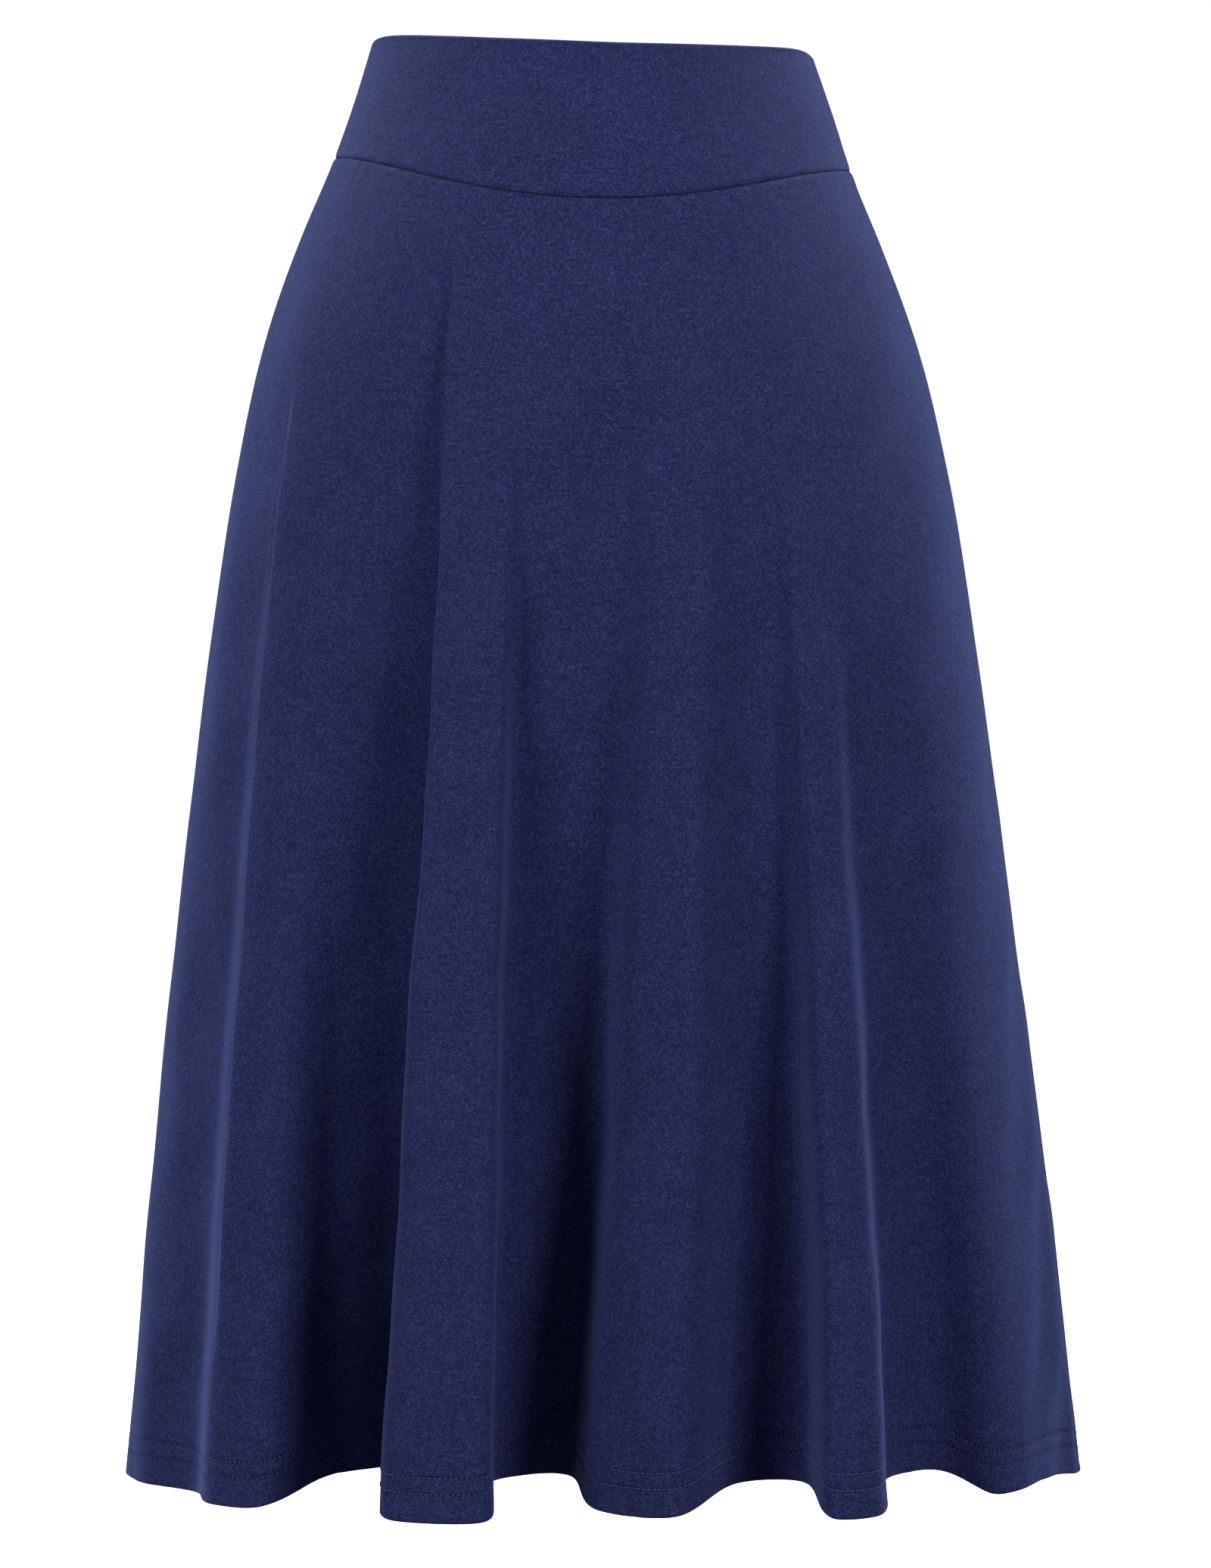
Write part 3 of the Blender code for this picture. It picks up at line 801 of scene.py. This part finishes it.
def jersey():
    """Navy cotton jersey: a soft melange of fine knitted rows, with a bloom at a glancing angle, and shade
    painted into its colour along the seams and stitch rows.
    """
    sizes = bpy.context.scene.skirt_cloth
    material = bpy.data.materials.new("navy_jersey")
    nodes = Nodes(material)
    shader = nodes.shader
    place = nodes.value("ShaderNodeUVMap", {"uv_map": "flat_cut"}, {})
    painted_shade = nodes.value("ShaderNodeAttribute", {"attribute_name": "painted_shade"}, {}, "Fac")
    fibre_place = stretched(nodes, place, FIBRE_SCALE)
    cells = nodes.value("ShaderNodeTexVoronoi", {}, {"Vector": fibre_place, "Scale": 1.0}, "Color")
    # Adding nothing makes one value of each cell's colour
    flecks = 0.0 + cells
    rows = speckle(nodes, place, ROW_SCALE)
    clouds = speckle(nodes, place, CLOUD_SCALE)
    # Painted shade: the colour darkens along the seams and stitch rows by the mask kept on the cloth's
    # points
    painted_shade_factor = 1.0 - painted_shade * GROOVE_SHADE
    shade = (1.0 + (rows - 0.5) * ROW_CONTRAST + (clouds - 0.5) * CLOUD_CONTRAST) * painted_shade_factor
    fibres = (flecks * flecks - FLECK_LEVEL) * painted_shade_factor
    ground, melange = scaled(nodes, sizes.navy, shade), scaled(nodes, sizes.fleck, fibres)
    colour = nodes.value("ShaderNodeVectorMath", {"operation": "ADD"}, {0: ground, 1: melange})
    nodes.feed(shader.inputs["Base Color"], colour)
    nodes.feed(shader.inputs["Roughness"], 0.78 + (flecks - 0.5) * 0.20)
    wales, courses = bands(nodes, place, "X", WALE), bands(nodes, place, "Y", COURSE)
    knit = wales * 0.5 + courses * 0.5 + flecks * 0.8
    bump = nodes.value("ShaderNodeBump", {}, {"Strength": 0.45, "Distance": 0.00022, "Height": knit})
    nodes.feed(shader.inputs["Normal"], bump)
    shader.inputs["Specular IOR Level"].default_value = 0.12
    shader.inputs["Sheen Weight"].default_value = sizes.bloom_weight
    shader.inputs["Sheen Roughness"].default_value = 0.40
    shader.inputs["Sheen Tint"].default_value = sizes.bloom
    return material


def sewing_thread():
    """Spun polyester thread, a shade lighter than the jersey."""
    material = bpy.data.materials.new("navy_thread")
    nodes = Nodes(material)
    place = nodes.value("ShaderNodeTexCoord", {}, {}, "Object")
    plies = nodes.value("ShaderNodeTexNoise", {}, {"Vector": place, "Scale": 1800.0, "Detail": 1.0})
    colour = scaled(nodes, bpy.context.scene.skirt_thread.colour, 0.75 + plies * 0.5)
    nodes.feed(nodes.shader.inputs["Base Color"], colour)
    nodes.feed(nodes.shader.inputs["Roughness"], 0.45 + plies * 0.2)
    nodes.shader.inputs["Specular IOR Level"].default_value = 0.4
    return material


def one_stitch():
    """One stitch of unit length and width, as a long bead that dips at its ends."""
    bpy.ops.object.select_all(action="DESELECT")
    bpy.ops.mesh.primitive_uv_sphere_add(segments=6, ring_count=6, radius=1.0, rotation=(0, math.pi / 2, 0))
    bead = bpy.context.active_object
    bpy.ops.object.transform_apply(location=True, rotation=True, scale=True)
    points = np.array([vert.co for vert in bead.data.vertices])
    points[:, 0] = np.sign(points[:, 0]) * np.abs(points[:, 0]) ** 0.75
    faces = [tuple(face.vertices) for face in bead.data.polygons]
    bpy.data.objects.remove(bead)
    return points, faces


def sewn(turn, drop, deep=0.0):
    """Points of the sewn cloth at a depth below its outer face."""
    height, _ = relief(turn, drop, np.abs(drop - yoke_seam(turn)), hem_edge(turn) - drop)
    return worn(turn, drop, height - deep)


def stitches(name, start, end, deep=0.0):
    """Stitches from start places to end places, each a pair of turns and drops, at a depth."""
    thread = bpy.context.scene.skirt_thread
    bead, bead_faces = one_stitch()
    first, last = sewn(*start, deep), sewn(*end, deep)
    turn, drop = (start[0] + end[0]) / 2, (start[1] + end[1]) / 2
    along = (last - first) / 2
    forward = along / np.linalg.norm(along, axis=1, keepdims=True)
    up = outward(turn, drop)
    up = up - forward * (up * forward).sum(axis=1, keepdims=True)
    up = up / np.linalg.norm(up, axis=1, keepdims=True)
    aside = np.cross(up, forward)
    points = (
        sewn(turn, drop, deep)[:, None, :]
        + along[:, None, :] * bead[None, :, 0:1]
        + aside[:, None, :] * bead[None, :, 1:2] * thread.radius
        + up[:, None, :] * bead[None, :, 2:3] * thread.radius * THREAD_FLATNESS
    )
    count = len(bead)
    faces = [tuple(k + i * count for k in face) for i in range(len(turn)) for face in bead_faces]
    mesh = bpy.data.meshes.new(name)
    mesh.from_pydata(points.reshape(-1, 3).tolist(), [], faces)
    mesh.shade_smooth()
    mesh.materials.append(bpy.context.scene.skirt_thread_material)
    piece = bpy.data.objects.new(name, mesh)
    bpy.context.scene.collection.objects.link(piece)
    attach(piece, "root")
    return piece


def spaced(turn, drop, pitch, margin=0.002):
    """Turns at even spaces along a line on the cloth."""
    line = cloth(turn, drop)
    so_far = np.concatenate([[0.0], np.cumsum(np.linalg.norm(np.diff(line, axis=0), axis=1))])
    count = int((so_far[-1] - 2 * margin) / pitch)
    return np.interp(margin + (np.arange(count) + 0.5) * pitch, so_far, turn)


def hem_stitches(name, back):
    """The two rows of stitches that hold the hem's turn-up."""
    thread = bpy.context.scene.skirt_thread
    line = between_seams(np.linspace(0, 1, HEM_LINE_STEPS), HEM_DROP, back)
    turns, rows = [], []
    for row in (thread.lower_row, thread.upper_row):
        turns.append(spaced(line, hem_edge(line) - row, thread.pitch))
        rows.append(np.full(len(turns[-1]), row))
    turn, row = np.concatenate(turns), np.concatenate(rows)
    half = thread.stitch / 2 / length_round(HEM_DROP)
    start, end = turn - half, turn + half
    lift = thread.radius * HEM_STITCH_LIFT
    return stitches(name, (start, hem_edge(start) - row), (end, hem_edge(end) - row), -lift)


def allowance_rows(start, end, face):
    """The rows round an allowance's section, as places between two edges and depths from a face."""
    back_face = face + bpy.context.scene.skirt_cloth.allowance_thickness
    between = (face + back_face) / 2
    offs = np.linspace(start, end, ALLOWANCE_ROWS)
    rows = [(off, face) for off in offs] + [(end + ALLOWANCE_EDGE, between)]
    bottom = len(rows) - 1
    rows += [(off, back_face) for off in offs[::-1]] + [(start - ALLOWANCE_EDGE, between)]
    return np.array(rows), bottom


def allowance_strip(name, turn, drop, across, depth, bottom):
    """A strip of seam allowance inside the cloth, which lies across the pattern as stated."""
    turn, drop, across = np.broadcast_arrays(turn, drop, across)
    flat = np.stack([across, ALLOWANCE_SHIFT - drop], axis=-1)
    strip = shell(name, worn(turn, drop, -depth), flat, np.zeros(drop.shape), bottom)
    strip.data.materials.append(bpy.context.scene.skirt_cloth_material)
    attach(strip, "root")
    return strip


def yoke_seam_pieces(node, back):
    """The seam below half of the yoke: its stitches, and the allowances pressed up behind the yoke."""
    sizes, thread = bpy.context.scene.skirt_cloth, bpy.context.scene.skirt_thread
    face = sizes.yoke_thickness + INSIDE_GAP
    rows, bottom = allowance_rows(-sizes.allowance, 0.0010, face)
    part = np.linspace(0.003, 0.997, YOKE_ALLOWANCE_COLUMNS + 1)[:, None]
    turn = between_seams(part, YOKE_SIDE_DROP, back)
    drop = yoke_seam(turn) + rows[None, :, 0]
    strip = allowance_strip(node + "_seam_allowance", turn, drop, turn, rows[None, :, 1], bottom)

    line = between_seams(np.linspace(0, 1, SEAM_LINE_STEPS), YOKE_SIDE_DROP, back)
    turn = spaced(line, yoke_seam(line), thread.seam_pitch)
    aside, half_height = YOKE_STITCH_HALF[0] / length_round(YOKE_SIDE_DROP), YOKE_STITCH_HALF[1]
    start, end = turn - aside, turn + aside
    seam = stitches(
        node + "_seam_stitches",
        (start, yoke_seam(turn) - half_height), (end, yoke_seam(turn) + half_height), YOKE_STITCH_DEPTH,
    )
    turn = spaced(line, yoke_seam(line), thread.overlock_pitch)
    aside = thread.overlock_pitch / 4 / length_round(YOKE_SIDE_DROP)
    edge = yoke_seam(turn) - sizes.allowance
    top, low = edge - OVERLOCK_BEYOND, edge + OVERLOCK_WIDTH
    overlock = stitches(
        node + "_overlocking",
        (np.concatenate([turn - aside, turn + 3 * aside]), np.concatenate([top, top])),
        (np.concatenate([turn + aside, turn + aside]), np.concatenate([low, low])),
        face + sizes.allowance_thickness + thread.radius * OVERLOCK_LIFT,
    )
    return [strip, seam, overlock]


def side_seam_pieces(side, seam, backwards):
    """A side seam of the skirt: its stitches, and the allowances pressed towards the back."""
    sizes, thread = bpy.context.scene.skirt_cloth, bpy.context.scene.skirt_thread
    face = sizes.thickness + INSIDE_GAP
    top = yoke_seam(np.array(seam)) + 0.0020
    low = hem_edge(np.array(seam)) - sizes.hem_turn - 0.0010
    drop = np.linspace(top, low, SIDE_ALLOWANCE_COLUMNS + 1)[:, None]
    rows, bottom = allowance_rows(-0.0012, sizes.allowance, face)
    if backwards > 0:
        rows = np.roll(rows[::-1], -1, axis=0)
    turn = seam + backwards * rows[None, :, 0] / length_round(drop)
    across = SIDE_ALLOWANCE_SHIFT + turn * SIDE_ALLOWANCE_SPREAD
    strip = allowance_strip(side + "_seam_allowance", turn, drop, across, rows[None, :, 1], bottom)

    drop = np.arange(float(top), hem_edge(np.array(seam)) - 0.001, thread.seam_pitch)
    across, half_height = SIDE_STITCH_HALF[0] / length_round(drop), SIDE_STITCH_HALF[1]
    line = np.full(len(drop), seam)
    stitching = stitches(
        side + "_seam_stitches",
        (line - across, drop - half_height), (line + across, drop + half_height), SIDE_STITCH_DEPTH,
    )
    drop = np.arange(float(top) + 0.002, float(low) - 0.002, thread.overlock_pitch)
    edge = seam + backwards * (sizes.allowance + OVERLOCK_BEYOND) / length_round(drop)
    inner = seam + backwards * (sizes.allowance - OVERLOCK_WIDTH) / length_round(drop)
    half = thread.overlock_pitch / 2
    overlock = stitches(
        side + "_overlocking",
        (np.concatenate([edge, edge]), np.concatenate([drop - half, drop + half])),
        (np.concatenate([inner, inner]), np.concatenate([drop, drop])),
        face + sizes.allowance_thickness + thread.radius * OVERLOCK_LIFT,
    )
    return [strip, stitching, overlock]


class SKIRT_OT_yoke(bpy.types.Operator):
    """Make the two halves of the yoke and the seams below them."""

    bl_idname = "skirt.yoke"
    bl_label = "Yoke"

    def execute(self, context):
        for node, back in (("yoke_front", False), ("yoke_back", True)):
            piece = yoke(node + "_jersey", back)
            piece.data.materials.append(context.scene.skirt_cloth_material)
            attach(piece, "root")
            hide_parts(node)
            sewn_on = yoke_seam_pieces(node, back)
        return {"FINISHED"}


class SKIRT_OT_panels(bpy.types.Operator):
    """Make the skirt's front and back, with their folds, side seams and turned-up hems."""

    bl_idname = "skirt.panels"
    bl_label = "Front and back"

    def execute(self, context):
        halves = (("skirt_front", FRONT_COLUMNS, False), ("skirt_back", BACK_COLUMNS, True))
        for node, columns, back in halves:
            piece = skirt_panel(node + "_jersey", columns, back)
            piece.data.materials.append(context.scene.skirt_cloth_material)
            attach(piece, "root")
            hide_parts(node)
            sewn_on = [hem_stitches(node + "_hem_stitches", back)]
            if back:
                sewn_on += side_seam_pieces("left", LEFT_SEAM, -1.0)
                sewn_on += side_seam_pieces("right", RIGHT_SEAM, 1.0)
        return {"FINISHED"}


def softbox(name, place, size, power):
    """A soft rectangular light turned towards the skirt."""
    bpy.ops.object.light_add(type="AREA", location=place)
    lamp = bpy.context.active_object
    lamp.name = name
    lamp.data.shape = "RECTANGLE"
    lamp.data.size, lamp.data.size_y = size
    lamp.data.energy = power
    lamp.rotation_euler = (Vector(LIGHT_AIM) - Vector(place)).to_track_quat("-Z", "Y").to_euler()


def studio_paper():
    """Pale paper that glows white."""
    material = bpy.data.materials.new("studio_paper")
    shader = Nodes(material).shader
    shader.inputs["Base Color"].default_value = (0.9, 0.9, 0.9, 1.0)
    shader.inputs["Roughness"].default_value = 0.9
    shader.inputs["Emission Color"].default_value = (1.0, 1.0, 1.0, 1.0)
    shader.inputs["Emission Strength"].default_value = 1.0
    return material


def studio_air(strength):
    """A world that lights the skirt faintly from all round and looks white to the camera."""
    world = bpy.data.worlds.new("studio_air")
    world.use_nodes = True
    tree = world.node_tree
    air = tree.nodes["Background"]
    air.inputs["Color"].default_value = (1.0, 1.0, 1.0, 1.0)
    air.inputs["Strength"].default_value = strength
    white = tree.nodes.new("ShaderNodeBackground")
    white.inputs["Strength"].default_value = BACKDROP_STRENGTH
    rays = tree.nodes.new("ShaderNodeLightPath")
    mix = tree.nodes.new("ShaderNodeMixShader")
    tree.links.new(rays.outputs["Is Camera Ray"], mix.inputs["Fac"])
    tree.links.new(air.outputs[0], mix.inputs[1])
    tree.links.new(white.outputs[0], mix.inputs[2])
    tree.links.new(mix.outputs[0], tree.nodes["World Output"].inputs["Surface"])
    return world


class SKIRT_OT_studio(bpy.types.Operator):
    """Set up the pale floor, the camera and the soft lights."""

    bl_idname = "skirt.studio"
    bl_label = "Studio"

    def execute(self, context):
        studio = context.scene.skirt_studio
        bpy.ops.object.select_all(action="DESELECT")
        bpy.ops.mesh.primitive_plane_add(size=FLOOR_SIZE, location=(0.0, 0.0, -studio.floor_drop))
        floor = context.active_object
        floor.name = "studio_floor"
        bpy.ops.object.transform_apply(location=True, rotation=True, scale=True)
        floor.data.materials.append(studio_paper())
        floor.visible_diffuse = False
        floor.visible_glossy = False

        bpy.ops.object.camera_add(
            location=studio.camera_place, rotation=(math.pi / 2 - studio.camera_dip, 0.0, 0.0)
        )
        camera = context.active_object
        camera.data.lens = studio.lens
        camera.data.sensor_width = FILM_WIDTH
        camera.data.dof.use_dof = False
        context.scene.camera = camera

        sides = (("left", -1.0, studio.left_rim_power), ("right", 1.0, studio.right_rim_power))
        for side, across, rim_power in sides:
            softbox(side + "_key", (across * KEY_PLACE[0], *KEY_PLACE[1:]), KEY_SIZE, studio.key_power)
            softbox(side + "_rim", (across * RIM_PLACE[0], *RIM_PLACE[1:]), RIM_SIZE, rim_power)
        softbox("front_key", FRONT_PLACE, FRONT_SIZE, studio.front_power)
        context.scene.world = studio_air(studio.air)
        context.scene.view_settings.view_transform = "Standard"
        return {"FINISHED"}


class SKIRT_PT_panel(bpy.types.Panel):
    """The skirt's pieces and their sizes."""

    bl_label = "Flared skirt"
    bl_idname = "SKIRT_PT_panel"
    bl_space_type = "VIEW_3D"
    bl_region_type = "UI"
    bl_category = "Skirt"

    def draw(self, context):
        for group in (context.scene.skirt_cloth, context.scene.skirt_thread, context.scene.skirt_studio):
            box = self.layout.box()
            for key in group.bl_rna.properties.keys():
                if key not in ("name", "rna_type"):
                    box.prop(group, key)
        for operator in OPERATORS:
            self.layout.operator(operator.bl_idname)


GROUPS = (SkirtCloth, SkirtThread, SkirtStudio)
OPERATORS = (SKIRT_OT_yoke, SKIRT_OT_panels, SKIRT_OT_studio)


def register():
    for item in (*GROUPS, *OPERATORS, SKIRT_PT_panel):
        bpy.utils.register_class(item)
    bpy.types.Scene.skirt_cloth = PointerProperty(type=SkirtCloth)
    bpy.types.Scene.skirt_thread = PointerProperty(type=SkirtThread)
    bpy.types.Scene.skirt_studio = PointerProperty(type=SkirtStudio)
    bpy.types.Scene.skirt_cloth_material = PointerProperty(type=bpy.types.Material)
    bpy.types.Scene.skirt_thread_material = PointerProperty(type=bpy.types.Material)


def unregister():
    for key in ("skirt_cloth", "skirt_thread", "skirt_studio"):
        delattr(bpy.types.Scene, key)
    for key in ("skirt_cloth_material", "skirt_thread_material"):
        delattr(bpy.types.Scene, key)
    for item in reversed((*GROUPS, *OPERATORS, SKIRT_PT_panel)):
        bpy.utils.unregister_class(item)


def main():
    register()
    bpy.context.scene.skirt_cloth_material = jersey()
    bpy.context.scene.skirt_thread_material = sewing_thread()
    bpy.ops.skirt.yoke()
    bpy.ops.skirt.panels()
    bpy.ops.skirt.studio()


if __name__ == "__main__":
    main()
